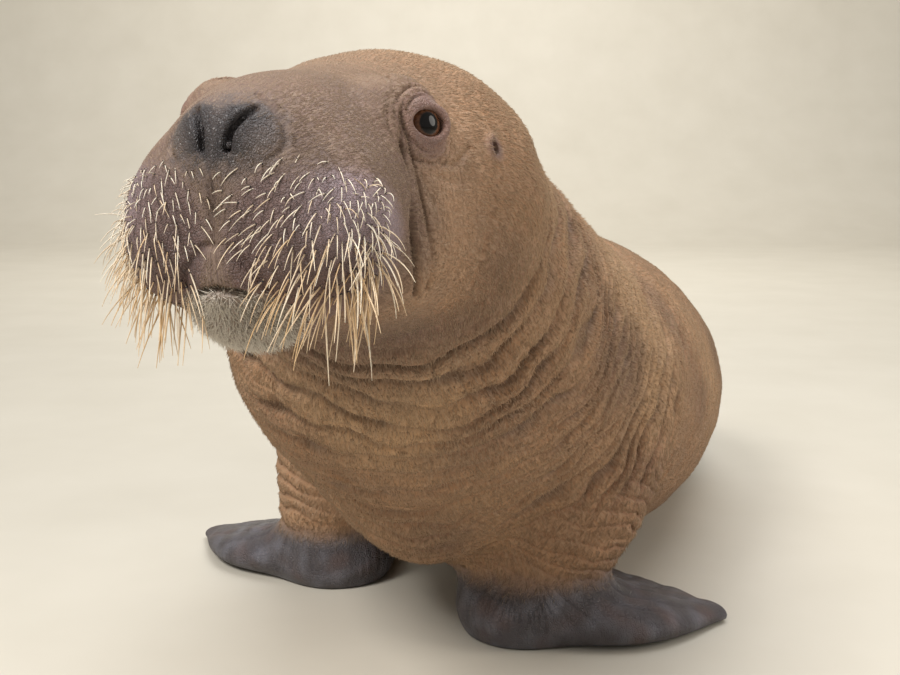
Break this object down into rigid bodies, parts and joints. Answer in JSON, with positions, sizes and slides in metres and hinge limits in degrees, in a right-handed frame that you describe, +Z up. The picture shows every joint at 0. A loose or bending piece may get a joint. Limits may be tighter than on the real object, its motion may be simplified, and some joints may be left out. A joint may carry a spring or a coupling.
{
  "type": "walrus calf model",
  "caption": "Life-size still model of a walrus calf sitting up on its foreflippers, head raised, with broad whiskered muzzle pads and flippers spread on the floor",
  "frame": {"origin": "on the floor, under the middle of the bounding box", "axes": "+Z up, the calf faces -Y, its own left is +X"},
  "size_m": [0.7378, 1.5334, 0.5248],
  "materials": {
    "hide": "short light-tipped brown hair over folded skin",
    "face": "very short hair over mauve-grey skin",
    "pad": "bare purple-grey skin with stiff straw-coloured whiskers",
    "flipper": "bare slate-grey wrinkled skin",
    "eye": "wet dark brown eye"
  },
  "bodies": {
    "root": {"neck": "hide", "torso": "hide", "hindquarters": "hide", "tail": "hide", "foreleg_left": "hide", "foreleg_right": "hide", "hindleg_left": "hide", "hindleg_right": "hide", "head": "face", "lower_jaw": "face", "whisker_pad_left": "pad", "whisker_pad_right": "pad", "foreflipper_left": "flipper", "foreflipper_right": "flipper", "hindflipper_left": "flipper", "hindflipper_right": "flipper", "eye_left": "eye", "eye_right": "eye"}
  },
  "joints": []
}
